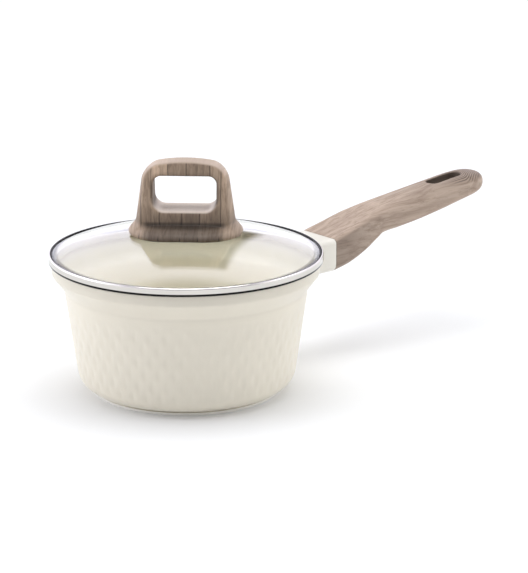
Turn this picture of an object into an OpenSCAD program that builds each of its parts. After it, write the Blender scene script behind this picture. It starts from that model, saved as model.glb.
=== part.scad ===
// Saucepan with a glass lid: cast pan, long handle on a through bolt, and a lid that lifts off.
// Origin: centre of the base, +Z up, +X along the handle.

/* [Pan] */
// Height of the rim above the table
pan_h = 83.8; // [80:0.1:100]
// Outer radius of the rim
rim_r = 84; // [83.6:0.1:84.4]
// Outer radius where the patterned wall meets the flare
belly_r = 76.2; // [74.5:0.1:77]
// Outer radius of the foot ring
foot_r = 59.2; // [57:0.1:60]
// Thickness of the wall
wall_t = 3.2; // [2.5:0.1:3.6]
// Thickness of the base above the table
base_t = 5; // [4:0.1:7]
// Height of the lower end of the flare, below the rim
flare_drop = 19.3; // [18:0.1:22]

/* [Induction plate] */
// Radius of the steel plate pressed into the base
plate_r = 50; // [44:0.5:53]
// Thickness of the plate
plate_t = 1; // [0.6:0.1:1.5]
// Number of rings of holes
plate_rings = 4; // [2:1:5]
// Radius of each hole
plate_hole_r = 1.6; // [1:0.1:2.2]

/* [Handle] */
// Distance from the pan's axis to the grip's joint with the collar
joint_x = 110.4; // [108:0.1:113]
// Distance from the pan's axis to the grip's tip
tip_x = 254; // [250:0.5:262]
// Half the collar's width
collar_w = 17.1; // [15.5:0.1:18]
// Top of the collar
collar_top = 80.3; // [80:0.1:81]
// Underside of the collar
collar_low = 58.4; // [57:0.1:60]
// Hanging slot, end to end
slot_len = 28.5; // [24:0.5:32]
// Hanging slot, side to side
slot_w = 10; // [8:0.1:12]
// Lean of the handle bolt, down towards its head
bolt_lean = 4; // [0:0.5:6]

/* [Lid] */
// Outer radius of the steel band
band_r = 86; // [85.8:0.1:86.4]
// Height of the band
band_h = 4.6; // [4.4:0.1:5]
// Height of the glass dome's crown above the band's underside
dome_h = 18.8; // [17:0.1:20]
// Thickness of the glass
glass_t = 3.6; // [3.2:0.1:3.8]
// Turn of the lid on the pan, from the handle to the knob's long way
lid_turn = -43; // [-180:0.5:180]
// Distance of the steam vent from the axis
vent_r = 52; // [45:0.5:60]

/* [Knob] */
// Height of the knob above the glass
knob_h = 43.6; // [42:0.1:46]
// Knob flange, the long way
flange_l = 72; // [68:0.5:76]
// Knob flange, the short way
flange_d = 56; // [50:0.5:60]
// Finger opening, the long way
grip_l = 39.4; // [36:0.1:42]
// Finger opening, height
grip_h = 21.2; // [18:0.1:21.4]

/* [Hidden] */
$fn = 96;
eps = 0.01;

// Clearance between the pan's rim and the resting lid
seat_gap = 0.3;
band_z = pan_h + seat_gap;
band_top = band_z + band_h;
dome_z = band_z + dome_h;
sheet_t = 0.6;

// Dome: outer sphere through the crown and through the band's top lip
lip_r = band_r - 2.2;
glass_edge_r = band_r - 1.1;
lip_rise = dome_h - band_h + sheet_t;
dome_R = (lip_r * lip_r + lip_rise * lip_rise) / (2 * lip_rise);

mouth_r = rim_r - 3.6;
flare_z = pan_h - flare_drop;
shoulder_z = pan_h - 6.4;
foot_h = 1.6;
corner_r = 10.4;
wall_a = 8.6;
flare_a = 31;

// Handle bolt: its height at the joint, and how far beyond the joint its head sits
bolt_z = 69.4;
head_s = 17.5;
bolt_r = 2.5;
washer_r = 4.9;
slot_x1 = tip_x - 18.6;
slot_x0 = slot_x1 - slot_len;
end_r = 16;

// Stations along the grip: x, half width, top edge, underside, crown, top and bottom edge radius
GRIP = [
    [joint_x, collar_w, collar_top, collar_low, 0, 3.4, 5.2],
    [125, 16.2, 84, 61.4, 0, 3.4, 5],
    [140, 15.1, 88.2, 67.4, 0.3, 4, 4.6],
    [150, 14.4, 90.4, 73, 0.6, 4.6, 4.4],
    [156, 14, 91.6, 76, 0.9, 5, 4.2],
    [170, 13.5, 93.5, 77.3, 1.4, 5.4, 4.2],
    [190, 13, 95.8, 79.5, 2, 5.6, 4.2],
    [212, 13, 98, 83.2, 2.5, 5.4, 4.2],
    [230, 13, 99.8, 86.8, 2.6, 5, 4],
    [tip_x, 13, 101.2, 91.8, 2.2, 5, 3.6]
];

function arc(x, z, r, a0, a1, n) =
    [for (i = [0:n]) let (a = a0 + (a1 - a0) * i / n) [x + r * cos(a), z + r * sin(a)]];

// Cubic through the stations: column c of table t at place x
function seg(t, x, i = 0) = i >= len(t) - 2 || x < t[i + 1][0] ? i : seg(t, x, i + 1);
function slope(t, c, i) =
    let (a = max(i - 1, 0), b = min(i + 1, len(t) - 1)) (t[b][c] - t[a][c]) / (t[b][0] - t[a][0]);
function at(t, c, x) =
    let (i = seg(t, x), h = t[i + 1][0] - t[i][0], s = (x - t[i][0]) / h)
    t[i][c] * (1 + 2 * s) * (1 - s) * (1 - s) + t[i + 1][c] * s * s * (3 - 2 * s)
    + h * s * (1 - s) * (slope(t, c, i) * (1 - s) - slope(t, c, i + 1) * s);

// ---- Pan ----

function pan_outline() = concat(
    [[0, 0], [foot_r - 0.4, 0], [foot_r, 0.4], [foot_r, foot_h], [foot_r - 0.6, foot_h + 0.3]],
    arc(belly_r - 18, foot_h + 10.8, corner_r, -78, -wall_a, 10),
    [[belly_r - 0.2, flare_z - 2], [belly_r + 0.2, flare_z], [belly_r + 0.9, flare_z + 1.6]],
    arc(rim_r - 3, shoulder_z, 3, -flare_a, 0, 4),
    arc(rim_r - 1, pan_h - 1, 1, 0, 90, 5)
);

function pan_inside() = concat(
    [[0, base_t], [belly_r - 20, base_t]],
    arc(belly_r - 18.6, base_t + 8, 8, -78, -wall_a, 8),
    [[belly_r - wall_t - 0.3, flare_z - 1.6], [belly_r - wall_t + 0.6, flare_z + 1.4]],
    [[mouth_r - 0.6, shoulder_z - 1], [mouth_r, shoulder_z + 1], [mouth_r, pan_h - 0.8]],
    [[mouth_r + 0.8, pan_h], [mouth_r + 0.8, pan_h + 1], [0, pan_h + 1]]
);

module pan_solid() {
    rotate_extrude() polygon(concat(pan_outline(), [[0, pan_h]]));
}

module pan_cavity() {
    rotate_extrude() polygon(pan_inside());
}

// Local frame of the handle bolt: +Z runs from the lug towards the bolt's head
module on_bolt_axis() {
    translate([joint_x, 0, bolt_z]) rotate([0, 90 + bolt_lean, 0]) children();
}

lug_end = 106;
lug_w = 22;
lug_h = 13;

module pan_body() {
    color([0.93, 0.9, 0.83])
    difference() {
        union() {
            pan_solid();
            translate([66, -lug_w / 2, bolt_z - 8]) cube([lug_end - 66, lug_w, lug_h]);
        }
        pan_cavity();
        translate([0, 0, -1]) cylinder(r = plate_r + 0.05, h = plate_t + 1);
        on_bolt_axis() translate([0, 0, -24]) cylinder(r = 3.5, h = 30);
    }
}

module induction_plate() {
    color([0.72, 0.72, 0.74])
    difference() {
        cylinder(r = plate_r, h = plate_t);
        for (ring = [1:plate_rings], i = [0:6 * ring - 1])
            rotate(i * 60 / ring + 15 * ring)
            translate([ring * (plate_r - 5) / (plate_rings + 0.5), 0, -1])
            cylinder(r = plate_hole_r, h = plate_t + 2, $fn = 24);
    }
}

module lug_thread_insert() {
    color([0.7, 0.71, 0.72])
    on_bolt_axis() translate([0, 0, -24])
    difference() {
        cylinder(r = 3.5, h = 17);
        translate([0, 0, -1]) cylinder(r = bolt_r, h = 19);
    }
}

// ---- Handle ----

// Rounded rectangle with exact corners, standing in the Y-Z plane of the handle
module rounded_2d(w, low, high, r_low, r_high) {
    translate([-w, low + r_low]) square([2 * w, high - low - r_low - r_high]);
    translate([r_low - w, low]) square([2 * (w - r_low), r_low + eps]);
    translate([r_high - w, high - r_high - eps]) square([2 * (w - r_high), r_high + eps]);
    for (s = [-1, 1]) {
        translate([s * (w - r_low), low + r_low]) circle(r_low);
        translate([s * (w - r_high), high - r_high]) circle(r_high);
    }
}

// Extrudes a Y-Z section along +X
module along_x(x0, x1) {
    translate([x0, 0, 0]) rotate([90, 0, 90]) linear_extrude(x1 - x0) children();
}

module handle_collar() {
    color([0.93, 0.9, 0.83])
    difference() {
        along_x(60, joint_x) rounded_2d(collar_w, collar_low, collar_top, 5.2, 3.4);
        along_x(59, joint_x + 1) rounded_2d(lug_w / 2 + 1.5, bolt_z - 9, bolt_z + 6, 1, 1);
        pan_solid();
        translate([0, 0, pan_h - 6]) cylinder(r = rim_r + 0.6, h = 6.1);
    }
}

function corner(y, z, r, a0) = [for (i = [0:5]) [y + r * cos(a0 + 18 * i), z + r * sin(a0 + 18 * i)]];

// One closed section of the grip at place x, shrinking round the tip
function grip_ring(x) =
    let (
        t = max(0, (x - tip_x + end_r) / end_r),
        w = max(0.4, at(GRIP, 1, x) * sqrt(max(0, 1 - t * t))),
        d = end_r * (1 - t),
        rt = at(GRIP, 5, x),
        rb = at(GRIP, 6, x),
        drop_t = d < rt ? rt - sqrt(rt * rt - (rt - d) * (rt - d)) : 0,
        drop_b = d < rb ? rb - sqrt(rb * rb - (rb - d) * (rb - d)) : 0,
        hi = at(GRIP, 2, x) - drop_t,
        lo = at(GRIP, 3, x) + drop_b,
        r1 = max(0.1, min(rt - drop_t * 0.9, w * 0.9)),
        r2 = max(0.1, min(rb - drop_b * 0.9, w * 0.9)),
        k = at(GRIP, 4, x) * (1 - t * t)
    )
    [for (p = concat(
        corner(w - r2, lo + r2, r2, -90), corner(w - r1, hi - r1, r1, 0),
        [for (i = [1:4]) [(w - r1) * (1 - 0.4 * i), hi]],
        corner(r1 - w, hi - r1, r1, 90), corner(r2 - w, lo + r2, r2, 180)))
        [x, p[0], p[1] + k * (1 - pow(p[0] / w, 2)) * max(0, (p[1] - lo) / (hi - lo) * 2 - 1)]];

module grip_shell() {
    steps = 26;
    tip_steps = 9;
    xs = concat(
        [for (i = [0:steps]) joint_x + (tip_x - end_r - joint_x) * i / steps],
        [for (i = [1:tip_steps]) tip_x - end_r + end_r * sin(88 * i / tip_steps)]);
    rings = [for (x = xs) grip_ring(x)];
    n = len(rings[0]);
    m = len(rings);
    polyhedron(
        points = [for (ring = rings) each ring],
        faces = concat(
            [[for (j = [0:n - 1]) j]],
            [[for (j = [0:n - 1]) (m - 1) * n + n - 1 - j]],
            [for (i = [0:m - 2], j = [0:n - 1], s = [0, 1])
                let (a = i * n + j, b = i * n + (j + 1) % n)
                s == 0 ? [a, a + n, b] : [b, a + n, b + n]]));
}

module handle_grip() {
    color([0.68, 0.58, 0.5])
    difference() {
        union() {
            grip_shell();
            along_x(lug_end, joint_x + eps) rounded_2d(lug_w / 2 + 1.4, bolt_z - 8.9, bolt_z + 5.9, 1, 1);
        }
        for (x = [slot_x0 + slot_w / 2, slot_x1 - slot_w / 2])
            translate([x, 0, 60]) cylinder(r = slot_w / 2, h = 60);
        translate([slot_x0 + slot_w / 2, -slot_w / 2, 60]) cube([slot_len - slot_w, slot_w, 60]);
        on_bolt_axis() translate([0, 0, -10]) cylinder(r = bolt_r + 0.2, h = head_s + 10);
        on_bolt_axis() translate([0, 0, head_s - 2]) cylinder(r = washer_r + 0.3, h = 40);
    }
}

module bolt_washer() {
    color([0.75, 0.76, 0.78])
    on_bolt_axis() translate([0, 0, head_s - 2]) difference() {
        cylinder(r = washer_r, h = 1);
        translate([0, 0, -1]) cylinder(r = bolt_r + 0.15, h = 3);
    }
}

// A split ring, cut through on one side
module split_ring(r_in, r_out, h) {
    difference() {
        cylinder(r = r_out, h = h);
        translate([0, 0, -1]) cylinder(r = r_in, h = h + 2);
        translate([0, -0.4, -1]) cube([r_out + 1, 0.8, h + 2]);
    }
}

module bolt_spring_washer() {
    color([0.6, 0.61, 0.63])
    on_bolt_axis() translate([0, 0, head_s - 1]) split_ring(bolt_r + 0.1, 4.2, 1);
}

module pan_head(r, h, recess_r) {
    difference() {
        union() {
            cylinder(r = r, h = h * 0.6);
            translate([0, 0, h * 0.6]) cylinder(r1 = r, r2 = r * 0.8, h = h * 0.4);
        }
        for (a = [0, 90])
            rotate(a) translate([-recess_r, -0.5, h - 1.6]) cube([2 * recess_r, 1, 2]);
    }
}

module handle_bolt() {
    color([0.75, 0.76, 0.78])
    on_bolt_axis() {
        translate([0, 0, -22]) cylinder(r = bolt_r, h = head_s + 22.5);
        translate([0, 0, head_s]) pan_head(4.4, 3.4, 2.4);
    }
}

// ---- Lid ----

module dome(r_shift) {
    translate([0, 0, dome_z - dome_R]) sphere(r = dome_R + r_shift, $fn = 200);
}

vent_x = vent_r * cos(50);
vent_y = vent_r * sin(50);
// Height of the dome's outer face over the vent
vent_z = dome_z - dome_R + sqrt(dome_R * dome_R - vent_r * vent_r);
vent_lean = asin(vent_r / dome_R);

module on_vent_axis() {
    translate([vent_x, vent_y, vent_z]) rotate([0, vent_lean, 50]) children();
}

glass_low = band_z + sheet_t + 0.3;

module lid_glass() {
    color([0.8, 0.88, 0.84, 0.4])
    difference() {
        intersection() {
            dome(0);
            translate([0, 0, glass_low]) cylinder(r = glass_edge_r, h = dome_h);
        }
        dome(-glass_t);
        translate([0, 0, dome_z - 10]) cylinder(r = 4.2, h = 20);
        on_vent_axis() translate([0, 0, -10]) cylinder(r = 2.6, h = 20);
    }
}

module lid_band() {
    lip_in = mouth_r - 0.6;
    top_r = 1.8;
    low_r = 0.9;
    color([0.8, 0.81, 0.82])
    rotate_extrude() {
        difference() {
            union() {
                translate([lip_in, band_z]) square([band_r - low_r - lip_in, low_r + eps]);
                translate([lip_r, band_top - top_r]) square([band_r - top_r - lip_r, top_r]);
                translate([lip_r, band_z + low_r]) square([band_r - lip_r, band_h - low_r - top_r]);
                translate([band_r - low_r, band_z + low_r]) circle(low_r);
                translate([band_r - top_r, band_top - top_r]) circle(top_r);
            }
            translate([mouth_r - 10, band_z + sheet_t])
                square([glass_edge_r + 0.4 - mouth_r + 10, band_h - 2 * sheet_t]);
            translate([mouth_r - 10, band_z + sheet_t]) square([lip_r - mouth_r + 10, band_h]);
        }
        translate([lip_in - sheet_t, band_z - 4.6]) square([sheet_t, 4.6 + sheet_t]);
    }
}

module band_sealant() {
    in_r = mouth_r + 0.6;
    color([0.9, 0.9, 0.88])
    rotate_extrude() {
        translate([in_r, band_z + sheet_t]) square([glass_edge_r - in_r, 0.3]);
        translate([glass_edge_r, band_z + sheet_t]) square([0.4, band_h - 2 * sheet_t]);
    }
}

module steam_vent_eyelet() {
    color([0.75, 0.76, 0.78])
    on_vent_axis()
    difference() {
        union() {
            translate([0, 0, 0.05]) cylinder(r = 5, h = 0.7);
            translate([0, 0, -glass_t - 1.4]) cylinder(r = 2.5, h = glass_t + 1.8);
            translate([0, 0, -glass_t - 1.5]) cylinder(r = 3.6, h = 0.6);
        }
        translate([0, 0, -10]) cylinder(r = 1.9, h = 20);
    }
}

module vent_washer() {
    color([0.7, 0.71, 0.73])
    on_vent_axis() translate([0, 0, -glass_t - 0.85])
    difference() {
        cylinder(r = 4.8, h = 0.7);
        translate([0, 0, -1]) cylinder(r = 2.6, h = 3);
    }
}

// ---- Knob ----

knob_top = dome_z + knob_h;
open_low = dome_z + 14;
open_high = open_low + grip_h;

module turned() {
    rotate(lid_turn) children();
}

// Oval plan: two arcs joined by straight sides
module oval_2d(l, d) {
    for (s = [-1, 1]) translate([s * (l - d) / 2, 0]) circle(d / 2);
    translate([-(l - d) / 2, -d / 2]) square([l - d, d]);
}

module slab(z, h, l, d) {
    translate([0, 0, z]) linear_extrude(h) oval_2d(l, d, $fn = 48);
}

module knob_flange() {
    slab(dome_z - 4, 4.6, flange_l, flange_d);
    hull() {
        slab(dome_z + 0.6, 0.9, flange_l, flange_d);
        slab(dome_z + 3.4, 1.2, flange_l - 5, flange_d - 6);
    }
}

// Front outline of the loop, in X and Z
module loop_2d(r) {
    hull() for (s = [-1, 1]) {
        translate([s * (25.9 - r), knob_top - r]) circle(r, $fn = 48);
        translate([s * 28.6, dome_z + 4]) circle(1, $fn = 32);
    }
}

module opening_2d() {
    hull() for (s = [-1, 1]) {
        translate([s * (grip_l / 2 - 5), open_high - 5]) circle(5, $fn = 32);
        translate([s * (grip_l / 2 - 7), open_low + 7]) circle(7, $fn = 32);
    }
}

// Side outline of the loop, in Y and Z: deep at the foot, shallow at the top
module loop_side_2d() {
    polygon([
        [-13.2, dome_z + 2], [13.2, dome_z + 2], [12, open_low], [8.8, open_high],
        [7.6, knob_top - 2.5], [5.6, knob_top], [-5.6, knob_top], [-7.6, knob_top - 2.5],
        [-8.8, open_high], [-12, open_low]]);
}

module knob_loop() {
    intersection() {
        rotate([90, 0, 0]) linear_extrude(40, center = true) loop_2d(9.5);
        rotate([90, 0, 90]) linear_extrude(80, center = true) loop_side_2d();
    }
}

module knob_grip() {
    color([0.58, 0.49, 0.42])
    turned() difference() {
        union() {
            knob_flange();
            knob_loop();
        }
        rotate([90, 0, 0]) linear_extrude(60, center = true) opening_2d();
        dome(0.05);
        translate([0, 0, dome_z - 5]) cylinder(r = 12.3, h = 6);
        translate([0, 0, dome_z]) cylinder(r = 4, h = 10.5);
    }
}

module knob_insert() {
    color([0.8, 0.66, 0.35])
    translate([0, 0, dome_z + 1.1]) difference() {
        cylinder(r = 4, h = 9.4);
        translate([0, 0, -1]) cylinder(r = 2.5, h = 9.4);
    }
}

// Height lost by a sphere of radius r_s at distance r from its crown
function sag(r, r_s) = r_s - sqrt(r_s * r_s - r * r);

module knob_gasket() {
    color([0.85, 0.84, 0.8])
    rotate_extrude()
        polygon([
            [4.4, dome_z], [12, dome_z + 0.03 - sag(12, dome_R)], [12, dome_z + 1],
            [4.4, dome_z + 1]]);
}

under_z = dome_z - glass_t;

module inner_gasket() {
    color([0.85, 0.84, 0.8])
    rotate_extrude()
        polygon([
            [2.8, under_z - 1.2], [9, under_z - 1.2],
            [9, under_z - sag(9, dome_R - glass_t)], [4, under_z - 0.04],
            [4, under_z + 2.8], [2.8, under_z + 2.8]]);
}

module dished_washer() {
    color([0.78, 0.79, 0.8])
    translate([0, 0, under_z - 2.2]) difference() {
        union() {
            cylinder(r1 = 8.4, r2 = 9.4, h = 0.5);
            translate([0, 0, 0.5]) cylinder(r = 9.4, h = 0.5);
        }
        translate([0, 0, -1]) cylinder(r = 2.7, h = 4);
    }
}

module knob_spring_washer() {
    color([0.6, 0.61, 0.63])
    translate([0, 0, under_z - 3.2]) split_ring(2.6, 4.3, 1);
}

module knob_screw() {
    color([0.75, 0.76, 0.78]) {
        translate([0, 0, under_z - 3.4]) cylinder(r = 2.5, h = 14.6);
        translate([0, 0, under_z - 3.2]) rotate([180, 0, 0]) pan_head(4.5, 3, 2.4);
    }
}

pan_body();
induction_plate();
lug_thread_insert();
handle_collar();
handle_grip();
handle_bolt();
bolt_spring_washer();
bolt_washer();
lid_glass();
lid_band();
band_sealant();
steam_vent_eyelet();
vent_washer();
knob_grip();
knob_insert();
knob_gasket();
inner_gasket();
dished_washer();
knob_spring_washer();
knob_screw();
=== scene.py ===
import math

import bpy
import numpy as np
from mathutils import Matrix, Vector


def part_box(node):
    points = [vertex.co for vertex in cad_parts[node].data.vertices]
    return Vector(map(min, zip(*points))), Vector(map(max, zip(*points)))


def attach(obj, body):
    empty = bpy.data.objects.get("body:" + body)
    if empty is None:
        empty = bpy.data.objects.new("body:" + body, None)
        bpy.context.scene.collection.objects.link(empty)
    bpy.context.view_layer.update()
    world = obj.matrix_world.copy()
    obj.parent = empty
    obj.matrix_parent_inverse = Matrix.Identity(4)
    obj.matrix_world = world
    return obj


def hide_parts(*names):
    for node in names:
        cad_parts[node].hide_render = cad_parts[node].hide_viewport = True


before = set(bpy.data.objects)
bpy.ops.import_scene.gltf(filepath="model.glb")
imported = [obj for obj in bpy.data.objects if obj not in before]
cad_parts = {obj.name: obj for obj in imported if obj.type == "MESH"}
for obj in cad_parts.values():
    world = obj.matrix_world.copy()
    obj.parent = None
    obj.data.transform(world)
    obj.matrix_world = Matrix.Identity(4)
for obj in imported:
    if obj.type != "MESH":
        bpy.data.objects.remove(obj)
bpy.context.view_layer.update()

# Every shape below is worked out in millimetres, in the row frame, and made in metres.
MM = 0.001


def box_mm(node):
    """Lowest and highest corner of a CAD node, in millimetres."""
    low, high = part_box(node)
    return [c / MM for c in low], [c / MM for c in high]


# ---- Sizes, from the frame where it has them ----

PAN_LOW, PAN_HIGH = box_mm("pan_body")
RIM_R = -PAN_LOW[0]
PAN_H = PAN_HIGH[2]
LUG_END = PAN_HIGH[0]
FLARE_Z = PAN_H - 19.3
BELLY_R = RIM_R - 7.8
FOOT_R = RIM_R - 24.8
FOOT_H = 1.6
WALL_T = 3.2
BASE_T = 5.0
WALL_LEAN = 8.6
FLARE_LEAN = 31.0
CORNER_R = 13.0
MOUTH_R = RIM_R - 3.6
PLATE_R = box_mm("induction_plate")[1][0]
PLATE_T = box_mm("induction_plate")[1][2]

# Diamonds of the wall: how many round, the height of a row, and how deep each is scooped
FACETS = 47
FACET_ROW = 8.2
FACET_DEPTH = 0.46

# Mesh fineness: steps round the turned pieces, and cell sizes of the pieces that fields give
PAN_STEPS = FACETS * 12
GLASS_STEPS = 256
BAND_STEPS = 360
GRIP_CELL = 0.62
KNOB_CELL = 0.6

COLLAR_LOW, COLLAR_HIGH = box_mm("handle_collar")
JOINT_X = COLLAR_HIGH[0]
COLLAR_W = COLLAR_HIGH[1]
TIP_X = box_mm("handle_grip")[1][0]
END_R = 16.0
SLOT_W = 10.0
SLOT_X1 = TIP_X - 18.6
SLOT_X0 = SLOT_X1 - 28.5
BOLT_Z = 69.4
BOLT_LEAN = math.radians(4)
HEAD_S = 17.5
BOLT_R = 2.5
WASHER_R = 4.9
LUG_W = 22.0
LUG_LOW = BOLT_Z - 8
LUG_HIGH = BOLT_Z + 5
LUG_CORNER_R = 1.5
LUG_BORE_R = 3.5
# The collar's hollow, which the lug and the grip's tenon slide into
SOCKET_W = LUG_W / 2 + 1.5
SOCKET_LOW = LUG_LOW - 1
SOCKET_HIGH = LUG_HIGH + 1
TENON_GAP = 0.1

BAND_R = box_mm("lid_band")[1][0]
BAND_TOP = box_mm("lid_band")[1][2]
BAND_Z = PAN_H + 0.3
SHEET_T = 0.6
DOME_Z = BAND_Z + 18.8
GLASS_T = 3.6
GLASS_R = box_mm("lid_glass")[1][0]
GLASS_HOLE_R = 4.2
LIP_R = BAND_R - 2.2
LIP_RISE = DOME_Z - BAND_TOP + SHEET_T
DOME_R = (LIP_R**2 + LIP_RISE**2) / (2 * LIP_RISE)
DOME_C = DOME_Z - DOME_R
LID_TURN = math.radians(-43)
VENT_R = 52.0
VENT_TURN = math.radians(50)
VENT_HOLE_R = 2.6

KNOB_TOP = box_mm("knob_grip")[1][2]
FLANGE_L = 72.0
FLANGE_D = 56.0
OPEN_L = 39.4
OPEN_LOW = DOME_Z + 14
OPEN_HIGH = OPEN_LOW + 21.2
GASKET_POCKET_R = 12.3
KNOB_BORE_R = 4.0


# ---- Mesh helpers ----


def make_object(name, points, faces, smooth_angle=35):
    """A mesh object from points in millimetres, smooth apart from edges sharper than smooth_angle."""
    mesh = bpy.data.meshes.new(name)
    mesh.from_pydata((np.asarray(points, float) * MM).tolist(), [], [list(map(int, f)) for f in faces])
    mesh.validate()
    mesh.update()
    obj = bpy.data.objects.new(name, mesh)
    bpy.context.scene.collection.objects.link(obj)
    smooth(obj, smooth_angle)
    return obj


def smooth(obj, angle):
    obj.data.polygons.foreach_set("use_smooth", [True] * len(obj.data.polygons))
    obj.data.set_sharp_from_angle(angle=math.radians(angle))


def cover(obj, material):
    """Gives an object this material and no other."""
    obj.data.materials.clear()
    obj.data.materials.append(material)


def finish_piece(obj, body, material, node):
    """Puts a piece on its body, in place of a CAD node."""
    cover(obj, material)
    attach(obj, body)
    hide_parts(node)


def arc(x, z, r, a0, a1, n):
    """Points on an arc from a0 to a1 degrees."""
    turns = np.radians(np.linspace(a0, a1, n + 1))
    return [(x + r * math.cos(a), z + r * math.sin(a)) for a in turns]


def line(a, b, n):
    """n points from a to b, without a itself."""
    return [tuple(np.add(a, np.subtract(b, a) * i / n)) for i in range(1, n + 1)]


def revolve(name, outline, steps, closed=False, shape=None):
    """Turns an outline of (radius, height) about the Z axis. Ends at radius 0 close in one point.

    shape(radius, height, turn) may move the ring points, given as arrays of rows by steps.
    """
    outline = np.array(outline, float)
    turn = np.arange(steps) * 2 * math.pi / steps
    rows = len(outline)
    radius = np.repeat(outline[:, :1], steps, 1)
    height = np.repeat(outline[:, 1:], steps, 1)
    if shape:
        radius, height = shape(radius, height, turn[None, :])
    points = np.stack([radius * np.cos(turn), radius * np.sin(turn), height], -1).reshape(-1, 3)
    nxt = (np.arange(steps) + 1) % steps
    now = np.arange(steps)
    faces = []
    for i in range(rows if closed else rows - 1):
        a, b = i * steps, (i + 1) % rows * steps
        if not closed and outline[i, 0] == 0:
            faces += [(a, b + n, b + m) for n, m in zip(nxt, now)]
        elif not closed and outline[i + 1, 0] == 0:
            faces += [(a + m, a + n, b) for n, m in zip(nxt, now)]
        else:
            faces += [(a + m, a + n, b + n, b + m) for n, m in zip(nxt, now)]
    if closed:
        return make_object(name, points, faces)
    keep = np.ones(len(points), bool)
    for i in range(rows):
        if outline[i, 0] == 0:
            keep[i * steps + 1 : (i + 1) * steps] = False
    place = np.cumsum(keep) - 1
    return make_object(name, points[keep], [[place[v] for v in f] for f in faces])


def join(first, other):
    """Merges the other mesh into the first object."""
    both = [first, other]
    with bpy.context.temp_override(
        active_object=first, object=first, selected_editable_objects=both, selected_objects=both
    ):
        bpy.ops.object.join()


def cut(obj, cutter):
    """Takes a closed cutter out of an object."""
    tool = obj.modifiers.new("cut", "BOOLEAN")
    tool.operation = "DIFFERENCE"
    tool.solver = "EXACT"
    tool.object = cutter
    with bpy.context.temp_override(active_object=obj, object=obj):
        bpy.ops.object.modifier_apply(modifier=tool.name)
    bpy.data.objects.remove(cutter)
    return obj


# ---- Solids given by a field: negative inside, in millimetres ----


def round_max(a, b, r):
    """Intersection of two fields with its edge rounded to radius r."""
    return np.minimum(np.maximum(a, b), -r) + np.hypot(np.maximum(a + r, 0), np.maximum(b + r, 0))


def round_min(a, b, r):
    """Union of two fields with a fillet of radius r."""
    return -round_max(-a, -b, r)


def blend_step(x, a, b):
    t = np.clip((x - a) / (b - a), 0, 1)
    return t * t * (3 - 2 * t)


def crossing_edges(values, axis):
    """Start index, place along the edge and side of each grid edge that the surface crosses."""
    size = values.shape[axis]
    a = values.take(range(0, size - 1), axis)
    b = values.take(range(1, size), axis)
    start = np.argwhere((a < 0) != (b < 0))
    at = tuple(start.T)
    return start, a[at] / (a[at] - b[at]), a[at] < 0


def net(field, low, high, cell):
    """Surface nets: closed quads round the part of a box where the field is negative."""
    axes = [np.arange(a, b + cell, cell) for a, b in zip(low, high)]
    values = field(*np.meshgrid(*axes, indexing="ij", sparse=True))
    shape = np.array(values.shape) - 1
    total = np.zeros((3, shape.prod()))
    count = np.zeros(shape.prod())
    quads = []
    for axis in range(3):
        start, part, outward = crossing_edges(values, axis)
        point = start.astype(float)
        point[:, axis] += part
        u, v = (axis + 1) % 3, (axis + 2) % 3
        ring = []
        for du, dv in ((0, 0), (1, 0), (1, 1), (0, 1)):
            where = start.copy()
            where[:, u] -= du
            where[:, v] -= dv
            flat = np.ravel_multi_index(where.T, shape)
            ring.append(flat)
            count += np.bincount(flat, minlength=len(count))
            for c in range(3):
                total[c] += np.bincount(flat, point[:, c], minlength=len(count))
        ring = np.stack(ring, 1)
        quads.append(np.where(outward[:, None], ring, ring[:, ::-1]))
    used = count > 0
    points = (total[:, used] / count[used]).T * cell + np.array(low)
    place = np.cumsum(used) - 1
    return settle(points, field, cell), place[np.concatenate(quads)]


def settle(points, field, cell):
    """Moves points onto the surface of the field, by Newton's method."""
    step = 0.02  # mm, for the slope of the field
    for _ in range(4):
        value = field(*points.T)
        slope = np.stack(
            [(field(*(points + e).T) - field(*(points - e).T)) / (2 * step) for e in step * np.eye(3)], 1
        )
        move = value[:, None] * slope / np.maximum((slope**2).sum(1), 0.25)[:, None]
        points = points - np.clip(move, -cell / 2, cell / 2)
    return points


# ---- Shader helpers ----


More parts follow.
